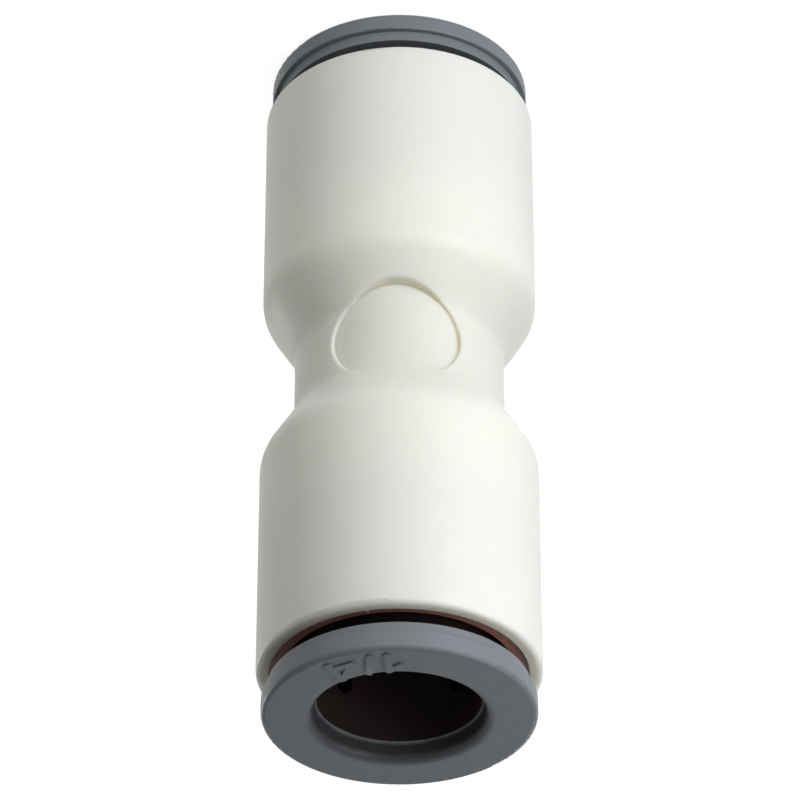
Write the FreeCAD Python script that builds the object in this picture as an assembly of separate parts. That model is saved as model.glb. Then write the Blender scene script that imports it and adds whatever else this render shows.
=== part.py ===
import FreeCAD, Part
import math
import os
from FreeCAD import Vector

# Equal push-in connector for rigid plastic tube, standing on one end.
# Sizes are in millimetres. Every radius is built outwards from the tube and every
# length outwards from the tube stop at mid-length, so a change carries the rest along.

# Tube that the connector joins
TUBE_D = 6.35
TUBE_BORE_D = 4.3

# Radial room around the tube, and how far the seal and the teeth reach into it
COLLET_BORE_GAP = 0.075
SOCKET_GAP = 0.05
WASHER_GAP = 0.15
SEAL_SQUEEZE = 0.175
TOOTH_BITE = 0.125

# Walls and gaps from the collet outwards
LEG_WALL = 0.85
COLLET_PLAY = 0.4
BARB_CATCH = 0.22
BARB_GAP = 0.1
RING_WALL = 0.26
REAR_LIP_GAP = 0.25
PRESS_GAP = 0.02
BODY_WALL = 0.55
WAIST_WALL = 1.075
SEAL_SECTION = 1.3

# Body form
STOP_THICKNESS = 1.8
SOCKET_LENGTH = 4.4
FLOW_BORE_D = 4.4
WAIST_LENGTH = 3.2
SHOULDER_ANGLE = 31.0
SHOULDER_ROUND = 1.5
WAIST_ROUND = 0.5
MOUTH_ROUND = 0.2
MOUTH_INNER_ROUND = 0.06
BODY_EDGE_BREAK = 0.15

# Oval recess on the front of the waist, and how far its floor rises towards the shoulders
RECESS_WIDTH = 5.3
RECESS_HEIGHT = 4.6
RECESS_DEPTH = 0.2
RECESS_FLOOR_RISE = 0.2
RECESS_DRAFT = 8.0
RECESS_RIM_ROUND = 0.12

# Release collet
TRAVEL = 0.6
END_GAP = 0.02
FLANGE_INSET = 0.23
FLANGE_THICKNESS = 0.82
FLANGE_FRONT_ROUND = 0.2
FLANGE_BACK_ROUND = 0.06
STEP_HEIGHT = 0.46
STEP_OVERLAP = 0.1
LEAD_IN_WIDTH = 0.17
LEAD_IN_ROUND = 0.4
LEAD_IN_DEPTH = 0.77
LEAD_IN_LEDGE = 0.06
BARB_LENGTH = 1.1
BARB_STRAIGHT = 0.5
LEG_COUNT = 4
LEG_SLOT = 0.9
LEG_ROOT_DEPTH = 0.45
NOSE_WALL = 0.3
NOSE_GAP = 0.05

# Retaining ring pressed into the mouth
RING_RECESS = 0.2
FRONT_LIP = 1.45
REAR_LIP = 0.55
POCKET_ROOM = 0.3
RING_FRONT_BREAK = 0.08

# Grip ring, support washer and seal
GRIP_THICKNESS = 0.3
GRIP_RIM = 0.75
GRIP_RIM_GAP = 0.1
TOOTH_COUNT = 8
TOOTH_SLOT = 0.45
TOOTH_ANGLE = 40.0
TOOTH_BEVEL = 0.15
WASHER_BACK = 0.52
WASHER_RELIEF = 0.3
SEAL_LENGTH = 2.1
SEAL_END_GAP = 0.05
SEAL_NOSE = 0.45
SEAL_ROUND = 0.3

# Radii, outwards from the tube
tube_r = TUBE_D / 2
collet_bore_r = tube_r + COLLET_BORE_GAP
socket_r = tube_r + SOCKET_GAP
washer_bore_r = tube_r + WASHER_GAP
seal_inner_r = tube_r - SEAL_SQUEEZE
seal_outer_r = seal_inner_r + SEAL_SECTION
seal_chamber_r = seal_outer_r + PRESS_GAP
tooth_tip_r = tube_r - TOOTH_BITE
neck_r = collet_bore_r + LEG_WALL
ring_bore_r = neck_r + COLLET_PLAY
barb_r = ring_bore_r + BARB_CATCH
pocket_r = barb_r + BARB_GAP
rear_lip_r = neck_r + REAR_LIP_GAP
ring_outer_r = pocket_r + RING_WALL
mouth_r = ring_outer_r + PRESS_GAP
body_r = mouth_r + BODY_WALL
waist_r = socket_r + WAIST_WALL
flange_r = body_r - FLANGE_INSET
step_r = mouth_r + STEP_OVERLAP
grip_outer_r = mouth_r - GRIP_RIM_GAP
grip_inner_r = grip_outer_r - GRIP_RIM
relief_r = grip_inner_r + WASHER_RELIEF

# Heights of the upper half, outwards from mid-length
tooth_slope = math.tan(math.radians(TOOTH_ANGLE))
washer_thickness = WASHER_BACK + (relief_r - washer_bore_r) * tooth_slope
stop_z = STOP_THICKNESS / 2
seal_floor_z = stop_z + SOCKET_LENGTH
washer_z = seal_floor_z + SEAL_LENGTH + 2 * SEAL_END_GAP
grip_z = washer_z + washer_thickness
ring_z = grip_z + GRIP_THICKNESS
pocket_z = ring_z + REAR_LIP
front_lip_z = pocket_z + BARB_LENGTH + TRAVEL + POCKET_ROOM
ring_top_z = front_lip_z + FRONT_LIP
mouth_z = ring_top_z + RING_RECESS
step_z = mouth_z + TRAVEL + END_GAP
flange_z = step_z + STEP_HEIGHT
face_z = flange_z + FLANGE_THICKNESS
base_z = face_z


def corner_arc(before, corner, after, radius):
    """Arc that rounds one corner of an outline, with its two tangent points."""
    back = (before - corner).normalize()
    ahead = (after - corner).normalize()
    half = back.getAngle(ahead) / 2
    start = corner + back * (radius / math.tan(half))
    end = corner + ahead * (radius / math.tan(half))
    middle = (back + ahead).normalize()
    crown = corner + middle * (radius / math.sin(half) - radius)
    return start, crown, end


def outline(corners):
    """Closed face in the XZ plane. A corner is (r, z), or (r, z, round)."""
    points = [Vector(c[0], 0, c[1]) for c in corners]
    rounds = [c[2] if len(c) > 2 else 0 for c in corners]
    count = len(points)
    stretches = []
    for i in range(count):
        before, here, after = points[i - 1], points[i], points[(i + 1) % count]
        if rounds[i]:
            start, crown, end = corner_arc(before, here, after, rounds[i])
            stretches.append((start, end, Part.Arc(start, crown, end).toShape()))
        else:
            stretches.append((here, here, None))
    edges = []
    for i in range(count):
        start, end, arc = stretches[i]
        if arc:
            edges.append(arc)
        following = stretches[(i + 1) % count][0]
        edges.append(Part.LineSegment(end, following).toShape())
    return Part.Face(Part.Wire(edges))


def turned(corners):
    """Solid of revolution about Z."""
    return outline(corners).revolve(Vector(0, 0, 0), Vector(0, 0, 1), 360)


def around(tool, count):
    """The tool repeated evenly about Z, as one shape."""
    copies = []
    for i in range(count):
        copy = tool.copy()
        copy.rotate(Vector(0, 0, 0), Vector(0, 0, 1), 360 * i / count)
        copies.append(copy)
    return Part.makeCompound(copies)


def slot_tool(width, inner, outer, low, high):
    """Radial slot cutter along X with a round upper end."""
    half = width / 2
    plate = Part.makeBox(outer - inner, width, high - half - low, Vector(inner, -half, low))
    end = Part.makeCylinder(half, outer - inner, Vector(inner, 0, high - half), Vector(1, 0, 0))
    return plate.fuse(end)


def shoulder_points():
    """Corners from the waist to the barrel on the upper half."""
    rise = (body_r - waist_r) / math.tan(math.radians(SHOULDER_ANGLE))
    waist = (waist_r, WAIST_LENGTH / 2, WAIST_ROUND)
    return [waist, (body_r, WAIST_LENGTH / 2 + rise, SHOULDER_ROUND)]


def oval(width, height, y):
    """Closed oval outline in front of the axis, square to Y."""
    centre = Vector(0, -y, 0)
    side, top = centre + Vector(width / 2, 0, 0), centre + Vector(0, 0, height / 2)
    return Part.Wire(Part.Ellipse(side, top, centre).toShape())


def recess_tool():
    """Drafted oval cutter from the front that stops at a floor hollowed along the waist."""
    floor_r = waist_r - RECESS_DEPTH
    ovals = []
    for y in (floor_r / 2, body_r + 1):
        growth = 2 * (y - waist_r) * math.tan(math.radians(RECESS_DRAFT))
        ovals.append(oval(RECESS_WIDTH + growth, RECESS_HEIGHT + growth, y))
    cutter = Part.makeLoft(ovals, True)
    reach, end_r = RECESS_HEIGHT, floor_r + 4 * RECESS_FLOOR_RISE
    low, middle, high = Vector(end_r, 0, -reach), Vector(floor_r, 0, 0), Vector(end_r, 0, reach)
    hollow = Part.Arc(low, middle, high).toShape()
    sides = Part.makePolygon([high, Vector(0, 0, reach), Vector(0, 0, -reach), low])
    core = Part.Face(Part.Wire([hollow, *sides.Edges])).revolve(Vector(0, 0, 0), Vector(0, 0, 1), 360)
    return cutter.cut(core)


def make_body():
    """One moulding: two stepped sockets back to back, a tube stop and a necked waist."""
    flow_r = FLOW_BORE_D / 2
    upper = [
        *shoulder_points(),
        (body_r, mouth_z, MOUTH_ROUND),
        (mouth_r, mouth_z, MOUTH_INNER_ROUND),
        (mouth_r, washer_z),
        (seal_chamber_r, washer_z),
        (seal_chamber_r, seal_floor_z),
        (socket_r + BODY_EDGE_BREAK, seal_floor_z),
        (socket_r, seal_floor_z - BODY_EDGE_BREAK),
        (socket_r, stop_z),
        (flow_r + BODY_EDGE_BREAK, stop_z),
        (flow_r, stop_z - BODY_EDGE_BREAK),
    ]
    lower = [(corner[0], -corner[1], *corner[2:]) for corner in reversed(upper)]
    moulding = turned(upper + lower)
    recessed = moulding.cut(recess_tool())
    return recessed.makeFillet(RECESS_RIM_ROUND, recess_rim(recessed))


def skin_r(z):
    """Outer radius of the waist and its shoulders at a height from mid-length."""
    past_waist = max(0, abs(z) - WAIST_LENGTH / 2)
    return waist_r + past_waist * math.tan(math.radians(SHOULDER_ANGLE))


def recess_rim(shape):
    """Edges where the recess wall meets the outside of the body."""
    reach = RECESS_WIDTH / 2 + RECESS_DEPTH
    found = []
    for edge in shape.Edges:
        box = edge.BoundBox
        point = edge.valueAt((edge.FirstParameter + edge.LastParameter) / 2)
        on_front = box.YMax < -tube_r / 2 and max(abs(box.XMin), abs(box.XMax)) < reach
        on_skin = abs(math.hypot(point.x, point.y) - skin_r(point.z)) < RECESS_DEPTH / 4
        if on_front and on_skin and abs(point.z) < reach:
            found.append(edge)
    return found


def make_collet():
    """Flanged release collet with slit legs, snap barbs and a tapered nose."""
    nose_r = collet_bore_r + NOSE_WALL
    tooth_top = ring_z - (grip_inner_r - nose_r) * tooth_slope
    tip_z = tooth_top + TRAVEL + NOSE_GAP
    barb_z = front_lip_z - END_GAP
    sleeve = turned([
        (collet_bore_r, tip_z),
        (collet_bore_r, face_z - LEAD_IN_DEPTH - LEAD_IN_LEDGE),
        (collet_bore_r + LEAD_IN_LEDGE, face_z - LEAD_IN_DEPTH),
        (collet_bore_r + LEAD_IN_WIDTH, face_z, LEAD_IN_ROUND),
        (flange_r, face_z, FLANGE_FRONT_ROUND),
        (flange_r, flange_z, FLANGE_BACK_ROUND),
        (step_r, flange_z),
        (step_r, step_z),
        (neck_r, step_z),
        (neck_r, barb_z),
        (barb_r, barb_z),
        (barb_r, barb_z - BARB_STRAIGHT),
        (neck_r, barb_z - BARB_LENGTH),
        (neck_r, tip_z + neck_r - nose_r),
        (nose_r, tip_z),
    ])
    slit = slot_tool(LEG_SLOT, 0, body_r, tip_z - 1, ring_top_z - LEG_ROOT_DEPTH)
    slit.rotate(Vector(0, 0, 0), Vector(0, 0, 1), 180 / LEG_COUNT)
    return sleeve.cut(around(slit, LEG_COUNT))


def make_retaining_ring():
    """Ring pressed into the mouth, which holds the stack down and catches the barbs."""
    return turned([
        (rear_lip_r, ring_z),
        (ring_outer_r, ring_z),
        (ring_outer_r, ring_top_z),
        (ring_bore_r + RING_FRONT_BREAK, ring_top_z),
        (ring_bore_r, ring_top_z - RING_FRONT_BREAK),
        (ring_bore_r, front_lip_z),
        (pocket_r, front_lip_z),
        (pocket_r, pocket_z),
        (rear_lip_r, pocket_z),
    ])


def make_grip_ring():
    """Sprung steel ring with teeth that lean inwards to bite the tube."""
    drop = (grip_inner_r - tooth_tip_r) * tooth_slope
    cone = turned([
        (grip_outer_r, grip_z),
        (grip_outer_r, ring_z),
        (grip_inner_r, ring_z),
        (tooth_tip_r, ring_z - drop),
        (tooth_tip_r + TOOTH_BEVEL, grip_z - drop + TOOTH_BEVEL * tooth_slope),
        (grip_inner_r, grip_z),
    ])
    root_r = grip_inner_r + TOOTH_SLOT / 2
    gap = Part.makeBox(root_r, TOOTH_SLOT, drop + 2 * GRIP_THICKNESS, Vector(0, -TOOTH_SLOT / 2, grip_z - drop))
    root = Part.makeCylinder(TOOTH_SLOT / 2, drop + 2 * GRIP_THICKNESS, Vector(root_r, 0, grip_z - drop))
    return cone.cut(around(gap.fuse(root), TOOTH_COUNT))


def make_support_washer():
    """Dished washer that backs the grip ring and closes the seal's chamber."""
    return turned([
        (washer_bore_r, washer_z),
        (ring_outer_r, washer_z),
        (ring_outer_r, grip_z),
        (relief_r, grip_z),
        (washer_bore_r, washer_z + WASHER_BACK),
    ])


def make_seal():
    """Rubber lip seal of D section with its nose towards the tube."""
    low = seal_floor_z + SEAL_END_GAP
    high = low + SEAL_LENGTH
    flank_r = seal_inner_r + SEAL_NOSE
    return turned([
        (seal_outer_r, low),
        (seal_outer_r, high),
        (flank_r, high, SEAL_ROUND),
        (seal_inner_r, high - SEAL_LENGTH / 3, SEAL_ROUND),
        (seal_inner_r, low + SEAL_LENGTH / 3, SEAL_ROUND),
        (flank_r, low, SEAL_ROUND),
    ])


def save(name, shape):
    """Stands the piece on the lower collet's face and writes it."""
    placed = shape.copy()
    placed.translate(Vector(0, 0, base_z))
    placed.exportStep("parts/" + name + ".step")
    print(name, "solids", len(placed.Solids), "valid", placed.isValid(), "volume", round(placed.Volume, 2))


def main():
    os.makedirs("parts", exist_ok=True)
    save("body", make_body())
    cartridge = {
        "collet": make_collet(),
        "retaining_ring": make_retaining_ring(),
        "grip_ring": make_grip_ring(),
        "support_washer": make_support_washer(),
        "seal": make_seal(),
    }
    for name, piece in cartridge.items():
        save("top_" + name, piece)
        turned_over = piece.copy()
        turned_over.rotate(Vector(0, 0, 0), Vector(1, 0, 0), 180)
        save("bottom_" + name, turned_over)
    print("body diameter", 2 * body_r, "body length", 2 * mouth_z, "overall length", 2 * face_z)


main()
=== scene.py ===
import math

import bmesh
import bpy
from mathutils import Matrix, Vector


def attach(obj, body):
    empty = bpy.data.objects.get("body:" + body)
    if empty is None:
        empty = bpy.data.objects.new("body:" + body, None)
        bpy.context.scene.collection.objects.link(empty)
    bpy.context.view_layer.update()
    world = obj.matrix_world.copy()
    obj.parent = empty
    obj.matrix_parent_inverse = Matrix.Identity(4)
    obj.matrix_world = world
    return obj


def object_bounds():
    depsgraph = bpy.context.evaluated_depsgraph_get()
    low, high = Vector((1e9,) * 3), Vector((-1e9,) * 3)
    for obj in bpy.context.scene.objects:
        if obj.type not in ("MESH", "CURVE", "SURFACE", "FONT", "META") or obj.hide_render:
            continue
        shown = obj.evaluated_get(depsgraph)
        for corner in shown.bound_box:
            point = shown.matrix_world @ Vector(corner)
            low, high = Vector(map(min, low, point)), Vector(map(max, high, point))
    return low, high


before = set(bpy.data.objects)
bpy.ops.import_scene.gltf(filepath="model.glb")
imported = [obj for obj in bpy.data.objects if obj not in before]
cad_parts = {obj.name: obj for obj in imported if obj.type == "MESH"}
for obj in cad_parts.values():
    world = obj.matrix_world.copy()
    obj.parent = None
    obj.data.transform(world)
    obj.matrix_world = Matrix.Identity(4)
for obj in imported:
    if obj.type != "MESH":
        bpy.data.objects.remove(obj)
cad_low, cad_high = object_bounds()

# Lengths of the object are in millimetres, and times MM they are in metres.
MM = 0.001
HEIGHT = cad_high.z / MM
MIDDLE = HEIGHT / 2

# Body and collet sizes, as in the part's source
MOUTH_R = 5.10
MOUTH_DEPTH_BELOW_FACE = 1.9
BODY_HALF = 13.548
RECESS_HALF_WIDTH = 2.54
RECESS_HALF_HEIGHT = 2.36
BORE_R = 3.25
LEAD_IN_R = 3.42
LEAD_IN_ROUND = 0.4
LEDGE_R = 3.28
LEDGE_DEPTH = 0.77
SLEEVE_TOP_DEPTH = 1.28

# The size mark raised on each collet's face has three characters. Each has a frame of its own,
# at an angle round the bore and with its foot at the outer end, and is drawn there in strokes.
# A stroke is given by its two ends: how far right each lies, and how far up.
MARK_FOOT_R = 5.04
MARK_STROKE = 0.29
MARK_RAISE = 0.075
MARK_SINK = 0.2
MARK_END_ROUND = 0.46 * MARK_STROKE
MARK_END_SEGMENTS = 5
MARK_EDGE = 0.03
MARK_EDGE_SEGMENTS = 2
MARK_CHARACTERS = {
    4.0: [((0.0, 0.13), (0.0, 1.24)), ((0.0, 1.23), (-0.44, 0.9))],
    14.0: [((-0.2, 0.13), (0.13, 1.24))],
    27.5: [((0.38, 0.13), (0.38, 1.24)), ((-0.5, 0.43), (0.45, 0.43)), ((-0.5, 0.43), (0.33, 1.23))],
}

# A curl of moulding flash inside the top mouth, with its root in the wall and its tip bent aside
FLASH_ANGLE = 12.0
FLASH_LENGTH = 0.24
FLASH_R = 0.07
FLASH_TIP_R = 0.008
FLASH_SIDES = 10
FLASH_ROOT_SINK = 0.03
FLASH_TIP_SHIFT = (0.05, 0, -0.03)
FLASH_CUTS = 2
FLASH_SMOOTHNESS = 0.6

# Points as close as this count as one: the ends of an upright edge seen from above, and those
# at the flash's tip.
SAME_FROM_ABOVE = 0.01
SAME_AS_TIP = 0.03

# Edges sharper than these angles are rounded on a mark, and shaded as edges on every new piece.
MARK_EDGE_ANGLE = math.radians(50)
SHARP_ANGLE = math.radians(35)

# Tones of the finishes. Where there are two, the finish goes from one to the other.
WHITE_TONES = (0.825, 0.832, 0.758, 1), (0.842, 0.848, 0.778, 1)
# painted shade and glow on the mouth's rim: darker at its outer edge, lighter towards the bore
RIM_GLOW_TONES = (0.76, 0.70, 0.60, 1), (0.96, 0.90, 0.80, 1)
# painted shade on the recess's wall, greyer at +X and warmer at -X
RECESS_WALL_SHADE_TONES = (0.70, 0.67, 0.57, 1), (0.70, 0.645, 0.48, 1)
# painted shade on the recess's floor, a little darker than the white around it
PAD_SHADE_TONE = (0.775, 0.790, 0.715, 1)
# painted shade on the waist and its shoulders, between the barrels
WAIST_SHADE_TONE = (0.75, 0.757, 0.69, 1)
COLLET_TONES = (0.163, 0.181, 0.198, 1), (0.184, 0.203, 0.222, 1)
# painted shade inside the collet's mouth
LEAD_IN_SHADE_TONE = (0.042, 0.045, 0.050, 1)
# painted shade on the bore and sleeve, tinted by light reflected off the brown rings
BORE_SHADE_TONE = (0.026, 0.017, 0.016, 1)
# painted highlight on the lead-in's ledge, where its edge catches light
LEDGE_HIGHLIGHT_TONE = (0.17, 0.18, 0.19, 1)
RING_TONES = (0.35, 0.160, 0.125, 1), (0.43, 0.200, 0.155, 1)
STEEL_TONES = (0.50, 0.51, 0.53, 1), (0.64, 0.65, 0.67, 1)
WASHER_TONES = (0.018, 0.018, 0.019, 1), (0.030, 0.030, 0.031, 1)
RUBBER_TONES = (0.012, 0.012, 0.012, 1), (0.024, 0.023, 0.022, 1)

# The white moulding lets light in: how deep, how far each colour goes, and the share that does.
WHITE_SURFACE = {
    "Subsurface Scale": 1.0 * MM,
    "Subsurface Radius": (1.0, 0.9, 0.72),
    "Subsurface Weight": 0.7,
    "Specular IOR Level": 0.35,
}
COLLET_SURFACE = {"Specular IOR Level": 0.25}

# Where each change of tone on the white moulding starts and where it ends: painted glow and shade on the
# mouth's rim, painted shade on the recess's wall and floor and on the waist. Round the recess, the
# recess's edge is at 1. Its wall is a band: the middle, half the width, and the soft edge's width.
RIM_BY_DEPTH = (0.14, 0.02)
RIM_BY_RADIUS = (5.6, 5.3)
RIM_TONE_BY_RADIUS = (5.32, 5.14)
RIM_GLOW_SHARE = 0.8
FRONT_BY_Y = (0.0, -1.0)
PAD_ROUND_RECESS = (0.98, 0.90)
WALL_ROUND_RECESS = (0.98, 0.02, 0.024)
WALL_TONE_BY_X = (0.2, -1.6)
WALL_SHADE_SLANT = 0.9
WALL_SHADE_BY_HEIGHT = (0.4, -1.2)
WALL_SHARE_IN_LIGHT = 0.35
WALL_SHARE_MORE_IN_SHADE = 0.3
WAIST_SHADE_BY_HEIGHT = (4.8, 2.2)
WAIST_SHADE_SHARE = 0.8

# The same on the collets, where the lead-in, the bore and the sleeve are painted darker as shade, with the
# ledge's painted highlight a band too
BORE_BY_RADIUS = (BORE_R + 0.03, BORE_R)
LEAD_IN_BY_RADIUS = (LEAD_IN_R, LEAD_IN_R + LEAD_IN_ROUND)
SLEEVE_BY_DEPTH = (SLEEVE_TOP_DEPTH, SLEEVE_TOP_DEPTH + 0.1)
LEDGE_BY_RADIUS = (LEDGE_R, 0.04, 0.03)
LEDGE_BY_DEPTH = (LEDGE_DEPTH, 0.05, 0.05)

# The neck's corners look softer than they are, apart from the recess and its rim.
NECK_BY_HEIGHT = (3.2, 2.4)
NECK_OFF_RECESS = (1.35, 1.1)
NECK_ROUND = 1.2
NECK_ROUND_SAMPLES = 8

# Most of a noise lies between these two values.
NOISE_RANGE = (0.3, 0.7)

# A surface's fine grain has this much of a slower unevenness added to it.
WHITE_SWAY = 1.5
COLLET_SWAY = 0.6

# Brush marks on the steel run along the axis.
BRUSH_STRETCH = (1, 1, 0.1)

# Camera, fitted to the outline in the photograph. It looks down at the top end with the picture
# turned over, so the near collet is at the picture's lower edge.
CAMERA_DISTANCE = 178.56 * MM
CAMERA_ELEVATION = 33.98
CAMERA_AZIMUTH = -1.7
CAMERA_ROLL = 180
CAMERA_LENS = 196.5
CAMERA_SENSOR = 36.0
CAMERA_CLIP = (0.01, 10)
AIM_HEIGHT = (MIDDLE + 0.459) * MM
AIM_ASIDE = -0.024 * MM

# Studio: a pale floor that the camera sees as white, and a sky that carries light from above
FLOOR_SIZE = 1.6
FLOOR_COLOUR = (0.84, 0.84, 0.83, 1)
FLOOR_GLOW = 0.82
SKY_STARTS = 0.35
SKY_FULL = 0.65
SKY_LEVEL = 0.23

# Lamps stand round the object. A lamp's height is that of its centre, its size is how wide and
# how tall it is, and its level is the light that it gives to a surface that faces it.
FAR = 250 * MM
NEAR = 82 * MM
LAMPS = {
    "key": {"azimuth": -50, "distance": FAR, "height": 105 * MM, "size": (0.08, 0.06),
            "level": 0.09, "colour": (0.985, 0.99, 1.02)},
    "low_key": {"azimuth": -42, "distance": NEAR, "height": 6 * MM, "size": (0.06, 0.010),
                "level": 0.47, "colour": (0.98, 0.99, 1.05)},
    "front": {"azimuth": 3, "distance": NEAR, "height": 6 * MM, "size": (0.06, 0.010),
              "level": 0.225, "colour": (1.0, 1.0, 0.95)},
    "back": {"azimuth": 130, "distance": FAR, "height": 14 * MM, "size": (0.10, 0.026),
             "level": 0.20, "colour": (1.0, 0.99, 0.93)},
    # without gloss, because it would glint along the top rim towards the camera
    "behind": {"azimuth": -172, "distance": FAR, "height": 14 * MM, "size": (0.14, 0.026),
               "level": 0.55, "colour": (1.0, 1.0, 0.98), "gloss": False},
    "side_top": {"azimuth": -70, "distance": 60 * MM, "height": 50 * MM, "size": (0.024, 0.024),
                 "level": 0.15, "colour": (1.0, 1.0, 1.0)},
}


class Value:
    """A number or a socket, so that shader maths is written as arithmetic."""

    def __init__(self, nodes, source):
        self.nodes = nodes
        self.source = source

    def maths(self, operation, *others):
        operands = dict(enumerate((self, *others)))
        return self.nodes.add("ShaderNodeMath", {"operation": operation}, operands)

    def __add__(self, other):
        return self.maths("ADD", other)

    def __sub__(self, other):
        return self.maths("SUBTRACT", other)

    def __mul__(self, other):
        return self.maths("MULTIPLY", other)

    def __truediv__(self, other):
        return self.maths("DIVIDE", other)

    def __rsub__(self, other):
        return Value(self.nodes, other) - self

    def __abs__(self):
        return self.maths("ABSOLUTE")

    __radd__ = __add__
    __rmul__ = __mul__


class Nodes:
    """A node tree, and the one way in which nodes are added to it."""

    def __init__(self, tree):
        self.tree = tree

    def add(self, kind, settings=None, inputs=None, output=0):
        made = self.tree.nodes.new(kind)
        for name, value in (settings or {}).items():
            setattr(made, name, value)
        for socket, value in (inputs or {}).items():
            self.feed(made.inputs[socket], value)
        return Value(self, made.outputs[output])

    def feed(self, socket, value):
        source = value.source if isinstance(value, Value) else value
        if isinstance(source, bpy.types.NodeSocket):
            self.tree.links.new(source, socket)
        else:
            socket.default_value = source

    def blend(self, share, first, second):
        return self.add("ShaderNodeMix", {"data_type": "RGBA"}, {"Factor": share, 6: first, 7: second}, 2)

    def seen_directly(self):
        """1 for camera, mirror and glass rays, 0 for those that carry light to the object."""
        rays = ("Is Camera Ray", "Is Glossy Ray", "Is Transmission Ray")
        camera, glossy, glass = (self.add("ShaderNodeLightPath", output=ray) for ray in rays)
        return camera.maths("MAXIMUM", glossy).maths("MAXIMUM", glass)


class Finish(Nodes):
    """One material: a principled surface, and the patterns that vary it, in millimetres."""

    def __init__(self, name, constants):
        self.material = bpy.data.materials.new(name)
        self.material.use_nodes = True
        super().__init__(self.material.node_tree)
        self.surface = self.tree.nodes["Principled BSDF"]
        for socket, value in constants.items():
            self.surface.inputs[socket].default_value = value
        place = self.add("ShaderNodeTexCoord", output="Object")
        self.place = self.add("ShaderNodeVectorMath", {"operation": "SCALE"}, {0: place, "Scale": 1 / MM})

    def set(self, socket, value):
        self.feed(self.surface.inputs[socket], value)

    def axes(self):
        return [self.add("ShaderNodeSeparateXYZ", inputs={0: self.place}, output=i) for i in range(3)]

    def noise(self, per_mm, detail, roughness=0.5, stretch=None):
        place = self.place
        if stretch:
            place = self.add("ShaderNodeVectorMath", {"operation": "MULTIPLY"}, {0: place, 1: stretch})
        inputs = {"Vector": place, "Scale": per_mm, "Detail": detail, "Roughness": roughness}
        return self.add("ShaderNodeTexNoise", {"noise_dimensions": "3D"}, inputs)

    def ramp(self, value, start, end, low=0.0, high=1.0):
        """low up to start and high from end on, with a smooth change between them."""
        inputs = {"Value": value, "From Min": start, "From Max": end, "To Min": low, "To Max": high}
        return self.add("ShaderNodeMapRange", {"clamp": True, "interpolation_type": "SMOOTHSTEP"}, inputs)

    def band(self, value, middle, half, soft):
        """1 where value is within half of middle, falling to 0 over soft."""
        return self.ramp(abs(value - middle), half, half + soft, 1.0, 0.0)

    def drift(self, noise, low, high):
        """A value that a noise takes from low to high."""
        return self.ramp(noise, *NOISE_RANGE, low, high)

    def softened(self, share, round_mm):
        """The surface's normal, with its corners rounded off where share is 1."""
        true = self.add("ShaderNodeNewGeometry", output="Normal")
        rounded = self.add("ShaderNodeBevel", {"samples": NECK_ROUND_SAMPLES}, {"Radius": round_mm * MM})
        return self.add("ShaderNodeMix", {"data_type": "VECTOR"}, {"Factor": share, 4: true, 5: rounded}, 1)

    def bump(self, height, depth_mm, normal=None):
        inputs = {"Height": height, "Distance": depth_mm * MM}
        if normal:
            inputs["Normal"] = normal
        self.set("Normal", self.add("ShaderNodeBump", inputs=inputs))


def length_of(first, second):
    return (first * first + second * second).maths("SQRT")


def white_polymer():
    finish = Finish("white_polymer", WHITE_SURFACE)
    x, y, z = finish.axes()
    up = z - MIDDLE
    from_middle = abs(up)
    round_recess = length_of(x / RECESS_HALF_WIDTH, up / RECESS_HALF_HEIGHT)
    front = finish.ramp(y, *FRONT_BY_Y)
    pad = finish.ramp(round_recess, *PAD_ROUND_RECESS) * front

    clean = finish.blend(finish.noise(per_mm=0.35, detail=3), *WHITE_TONES)
    # the mouth's rim is painted with a glow and shade for light coming through the lip
    with_rim_glow = painted_rim_glow(finish, clean, BODY_HALF - from_middle, length_of(x, y))
    # the recess's floor is painted a little darker, as shade
    with_pad_shade = finish.blend(pad, with_rim_glow, PAD_SHADE_TONE)
    # the waist is painted darker, as the shade between the barrels
    waist_shade = finish.ramp(from_middle, *WAIST_SHADE_BY_HEIGHT) * (1 - pad)
    with_waist_shade = finish.blend(waist_shade * WAIST_SHADE_SHARE, with_pad_shade, WAIST_SHADE_TONE)
    # the recess's wall is painted a darker, warmer tone, as shade and light coming through
    wall = finish.band(round_recess, *WALL_ROUND_RECESS) * front
    finish.set("Base Color", painted_wall_shade(finish, with_waist_shade, wall, x, up))
    finish.set("Roughness", finish.drift(finish.noise(per_mm=1.2, detail=2), low=0.40, high=0.45))

    recess = finish.ramp(round_recess, *NECK_OFF_RECESS) * front
    neck = finish.ramp(from_middle, *NECK_BY_HEIGHT) * (1 - recess)
    grain = finish.noise(per_mm=9.0, detail=3, roughness=0.6)
    sway = finish.noise(per_mm=0.9, detail=1)
    finish.bump(grain + sway * WHITE_SWAY, depth_mm=0.006, normal=finish.softened(neck, NECK_ROUND))
    return finish.material


def painted_rim_glow(finish, colour, depth, from_axis):
    """The mouth's rim, painted warm: painted shade at its outer edge and a painted glow towards the
    bore, for light that comes through the moulding.
    """
    rim = finish.ramp(depth, *RIM_BY_DEPTH) * finish.ramp(from_axis, *RIM_BY_RADIUS)
    tone = finish.blend(finish.ramp(from_axis, *RIM_TONE_BY_RADIUS), *RIM_GLOW_TONES)
    return finish.blend(rim * RIM_GLOW_SHARE, colour, tone)


def painted_wall_shade(finish, colour, wall, x, up):
    """The recess's wall, painted a darker, warmer tone as shade and as light that comes through, most on
    its side in shade.
    """
    shade = finish.ramp(up + x * WALL_SHADE_SLANT, *WALL_SHADE_BY_HEIGHT)
    share = shade * WALL_SHARE_MORE_IN_SHADE + WALL_SHARE_IN_LIGHT
    tone = finish.blend(finish.ramp(x, *WALL_TONE_BY_X), *RECESS_WALL_SHADE_TONES)
    return finish.blend(wall * share, colour, tone)


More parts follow.
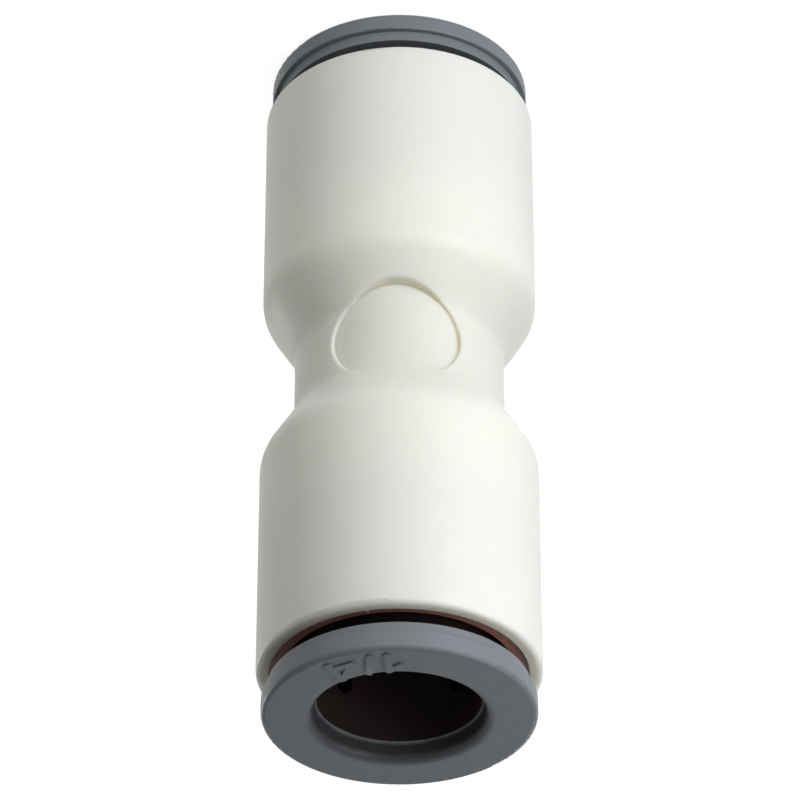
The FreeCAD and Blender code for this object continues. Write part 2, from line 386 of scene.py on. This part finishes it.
def grey_polymer():
    """The collets. Their lead-in is painted darker than the face as shade, and the bore and the sleeve,
    which lie between the rings, are painted near black with the rings' brown, as shade and light reflected
    off the rings. The lead-in's ledge is painted as a broken pale line, a highlight where its edge catches
    light."""
    finish = Finish("grey_polymer", COLLET_SURFACE)
    x, y, z = finish.axes()
    from_axis = length_of(x, y)
    depth = MIDDLE - abs(z - MIDDLE)
    outside = finish.blend(finish.noise(per_mm=1.1, detail=4, roughness=0.6), *COLLET_TONES)
    # the lead-in is painted dark, as shade in the bore's mouth
    with_lead_in_shade = finish.blend(finish.ramp(from_axis, *LEAD_IN_BY_RADIUS), LEAD_IN_SHADE_TONE, outside)
    # the bore and the sleeve are painted near black and brown, as shade and light reflected off the rings
    bore = finish.ramp(from_axis, *BORE_BY_RADIUS)
    sleeve = finish.ramp(depth, *SLEEVE_BY_DEPTH)
    with_bore_shade = finish.blend(bore.maths("MAXIMUM", sleeve), with_lead_in_shade, BORE_SHADE_TONE)
    # the ledge is painted as a broken pale line, a highlight where its edge catches light
    ledge = finish.band(from_axis, *LEDGE_BY_RADIUS) * finish.band(depth, *LEDGE_BY_DEPTH)
    highlight_share = finish.drift(finish.noise(per_mm=1.4, detail=2), low=0.2, high=0.6)
    finish.set("Base Color", finish.blend(ledge * highlight_share, with_bore_shade, LEDGE_HIGHLIGHT_TONE))
    finish.set("Roughness", finish.drift(finish.noise(per_mm=2.2, detail=3), low=0.38, high=0.50))
    grain = finish.noise(per_mm=6.0, detail=3, roughness=0.6)
    sway = finish.noise(per_mm=1.3, detail=2)
    finish.bump(grain + sway * COLLET_SWAY, depth_mm=0.006)
    return finish.material


def brown_polymer():
    finish = Finish("brown_polymer", {"Roughness": 0.38})
    finish.set("Base Color", finish.blend(finish.noise(per_mm=2.0, detail=3), *RING_TONES))
    finish.bump(finish.noise(per_mm=7.0, detail=2), depth_mm=0.005)
    return finish.material


def sprung_steel():
    finish = Finish("sprung_steel", {"Metallic": 1.0})
    brushed = finish.noise(per_mm=10.0, detail=3, roughness=0.6, stretch=BRUSH_STRETCH)
    finish.set("Base Color", finish.blend(brushed, *STEEL_TONES))
    finish.set("Roughness", finish.drift(brushed, low=0.22, high=0.40))
    finish.bump(brushed, depth_mm=0.003)
    return finish.material


def black_polymer():
    finish = Finish("black_polymer", {})
    cloud = finish.noise(per_mm=1.6, detail=3)
    finish.set("Base Color", finish.blend(cloud, *WASHER_TONES))
    finish.set("Roughness", finish.drift(cloud, low=0.45, high=0.6))
    finish.bump(finish.noise(per_mm=8.0, detail=2), depth_mm=0.005)
    return finish.material


def black_rubber():
    finish = Finish("black_rubber", {})
    cloud = finish.noise(per_mm=2.4, detail=4, roughness=0.6)
    finish.set("Base Color", finish.blend(cloud, *RUBBER_TONES))
    finish.set("Roughness", finish.drift(cloud, low=0.6, high=0.8))
    finish.bump(finish.noise(per_mm=12.0, detail=2), depth_mm=0.008)
    return finish.material


def finish_nodes():
    """Give every CAD piece its finish; a piece and its twin at the other end have the same."""
    finishes = {
        "body": white_polymer(),
        "collet": grey_polymer(),
        "retaining_ring": brown_polymer(),
        "grip_ring": sprung_steel(),
        "support_washer": black_polymer(),
        "seal": black_rubber(),
    }
    for name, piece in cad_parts.items():
        kind = name.removeprefix("top_").removeprefix("bottom_")
        piece.data.materials.clear()
        piece.data.materials.append(finishes[kind])
    return finishes


def open_mesh(select_mode):
    """Enter edit mode on the active piece with nothing selected."""
    bpy.ops.object.mode_set(mode="EDIT")
    bpy.ops.mesh.select_mode(type=select_mode)
    bpy.ops.mesh.select_all(action="DESELECT")
    return bmesh.from_edit_mesh(bpy.context.active_object.data)


def close_mesh():
    bpy.ops.object.mode_set(mode="OBJECT")


def select_only(piece):
    bpy.ops.object.select_all(action="DESELECT")
    piece.select_set(True)
    bpy.context.view_layer.objects.active = piece


def apply_modifier(piece, kind, **settings):
    modifier = piece.modifiers.new(kind.lower(), kind)
    for name, value in settings.items():
        setattr(modifier, name, value)
    bpy.ops.object.modifier_apply(modifier=modifier.name)


def settle(piece, name, material, body):
    """Take a piece that was modelled in millimetres into the frame, and say what it is."""
    piece.name = name
    piece.data.name = name
    select_only(piece)
    bpy.ops.transform.resize(value=(MM, MM, MM), center_override=(0, 0, 0))
    bpy.ops.object.transform_apply(location=True, rotation=True, scale=True)
    bpy.ops.object.shade_smooth_by_angle(angle=SHARP_ANGLE)
    piece.data.materials.append(material)
    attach(piece, body)


def add_stroke(start, end, base, top):
    """A bar with round ends that stands on the collet's face."""
    along = end - start
    middle = (start + end) / 2
    bpy.ops.mesh.primitive_cube_add(
        size=1,
        location=(middle.x, middle.y, (base + top) / 2),
        rotation=(0, 0, math.atan2(along.y, along.x)),
        scale=(along.length + MARK_STROKE, MARK_STROKE, top - base),
    )
    bar = bpy.context.active_object
    bpy.ops.object.transform_apply(location=True, rotation=True, scale=True)
    shape = open_mesh("EDGE")
    for edge in shape.edges:
        low, high = edge.verts
        edge.select = (low.co - high.co).xy.length < SAME_FROM_ABOVE
    bmesh.update_edit_mesh(bar.data)
    bpy.ops.mesh.bevel(offset=MARK_END_ROUND, segments=MARK_END_SEGMENTS, affect="EDGES")
    close_mesh()
    return bar


def add_character(angle, lines):
    """One character's strokes, each a bar of its own."""
    turn = math.radians(angle)
    outwards = Vector((math.sin(turn), -math.cos(turn)))
    rightwards = Vector((math.cos(turn), math.sin(turn)))
    strokes = []
    for line in lines:
        start, end = ((MARK_FOOT_R - up) * outwards + right * rightwards for right, up in line)
        strokes.append(add_stroke(start, end, HEIGHT - MARK_SINK, HEIGHT + MARK_RAISE))
    return strokes


def add_size_mark(name, material, body, turned):
    """Model the mark on the top face, and turn it over for the bottom face."""
    strokes = [stroke for angle, lines in MARK_CHARACTERS.items() for stroke in add_character(angle, lines)]
    mark = strokes[0]
    select_only(mark)
    for stroke in strokes[1:]:
        apply_modifier(mark, "BOOLEAN", operation="UNION", solver="EXACT", object=stroke)
        bpy.data.objects.remove(stroke)
    apply_modifier(mark, "BEVEL", width=MARK_EDGE, segments=MARK_EDGE_SEGMENTS,
                   limit_method="ANGLE", angle_limit=MARK_EDGE_ANGLE)
    if turned:
        bpy.ops.transform.rotate(value=math.pi, orient_axis="X", center_override=(0, 0, MIDDLE))
    settle(mark, name, material, body)


def add_flash(material):
    turn = math.radians(FLASH_ANGLE)
    outwards = Vector((math.sin(turn), -math.cos(turn), 0))
    height = HEIGHT - MOUTH_DEPTH_BELOW_FACE - FLASH_R
    root = outwards * (MOUTH_R + FLASH_ROOT_SINK) + Vector((0, 0, height))
    tip = root - outwards * FLASH_LENGTH
    bpy.ops.mesh.primitive_cone_add(
        vertices=FLASH_SIDES, radius1=FLASH_R, radius2=FLASH_TIP_R, depth=FLASH_LENGTH,
        location=(root + tip) / 2, rotation=(-outwards).to_track_quat("Z", "Y").to_euler(),
    )
    curl = bpy.context.active_object
    bpy.ops.object.transform_apply(location=True, rotation=True, scale=True)
    shape = open_mesh("VERT")
    for vertex in shape.verts:
        vertex.select = (vertex.co - tip).length < SAME_AS_TIP
    bmesh.update_edit_mesh(curl.data)
    bpy.ops.transform.translate(value=FLASH_TIP_SHIFT)
    bpy.ops.mesh.select_all(action="SELECT")
    bpy.ops.mesh.subdivide(number_cuts=FLASH_CUTS, smoothness=FLASH_SMOOTHNESS)
    close_mesh()
    settle(curl, "mouth_flash", material, "connector")


def look_at(thing, place, target, roll=0.0):
    ahead = (target - place).to_track_quat("-Z", "Y").to_matrix().to_4x4()
    thing.matrix_world = Matrix.Translation(place) @ ahead @ Matrix.Rotation(math.radians(roll), 4, "Z")


def direction(azimuth, elevation):
    """Azimuth 0 is the front, -Y; a positive azimuth is towards +X."""
    turn, rise = math.radians(azimuth), math.radians(elevation)
    return Vector((math.sin(turn) * math.cos(rise), -math.cos(turn) * math.cos(rise), math.sin(rise)))


def add_camera():
    data = bpy.data.cameras.new("camera")
    data.lens, data.sensor_width = CAMERA_LENS, CAMERA_SENSOR
    data.clip_start, data.clip_end = CAMERA_CLIP
    camera = bpy.data.objects.new("camera", data)
    bpy.context.scene.collection.objects.link(camera)
    target = Vector((AIM_ASIDE, 0, AIM_HEIGHT))
    place = target + CAMERA_DISTANCE * direction(CAMERA_AZIMUTH, CAMERA_ELEVATION)
    look_at(camera, place, target, CAMERA_ROLL)
    bpy.context.scene.camera = camera


def add_lamp(name, azimuth, distance, height, size, level, colour, gloss=True):
    data = bpy.data.lights.new(name, "AREA")
    data.shape = "RECTANGLE"
    data.size, data.size_y = size
    data.energy = level * (math.pi * distance) ** 2
    data.color = colour
    lamp = bpy.data.objects.new(name, data)
    bpy.context.scene.collection.objects.link(lamp)
    lamp.visible_camera = False
    lamp.visible_glossy = gloss
    place = math.sqrt(distance**2 - height**2) * direction(azimuth, 0) + Vector((0, 0, height))
    look_at(lamp, place, Vector((0, 0, min(height, MIDDLE * MM))))


def add_world():
    """A sky with no light near the horizon, which is plain white where it is seen or mirrored."""
    world = bpy.data.worlds.new("studio")
    bpy.context.scene.world = world
    world.use_nodes = True
    sky = Nodes(world.node_tree)
    place = sky.add("ShaderNodeTexCoord", output="Generated")
    up = sky.add("ShaderNodeSeparateXYZ", inputs={0: place}, output="Z")
    inputs = {"Value": up, "From Min": SKY_STARTS, "From Max": SKY_FULL, "To Max": SKY_LEVEL}
    level = sky.add("ShaderNodeMapRange", {"clamp": True}, inputs)
    background = world.node_tree.nodes["Background"]
    background.inputs["Color"].default_value = (1, 1, 1, 1)
    sky.feed(background.inputs["Strength"], level + sky.seen_directly() * (1 - level))


def add_floor():
    bpy.ops.mesh.primitive_plane_add(size=FLOOR_SIZE)
    floor = bpy.context.active_object
    floor.name = "floor"
    finish = Finish("floor", {"Roughness": 1.0, "Base Color": FLOOR_COLOUR, "Specular IOR Level": 0.0})
    glow = finish.add("ShaderNodeEmission", inputs={"Strength": finish.seen_directly() * FLOOR_GLOW})
    both = finish.add("ShaderNodeAddShader", inputs={0: finish.surface.outputs[0], 1: glow})
    finish.feed(finish.tree.nodes["Material Output"].inputs["Surface"], both)
    floor.data.materials.append(finish.material)


bpy.ops.object.select_all(action="DESELECT")
finishes = finish_nodes()
add_size_mark("top_size_mark", finishes["collet"], "top_release_collet", turned=False)
add_size_mark("bottom_size_mark", finishes["collet"], "bottom_release_collet", turned=True)
add_flash(finishes["body"])
add_camera()
for lamp_name, lamp in LAMPS.items():
    add_lamp(lamp_name, **lamp)
add_world()
add_floor()

bpy.context.scene.view_settings.view_transform = "Standard"
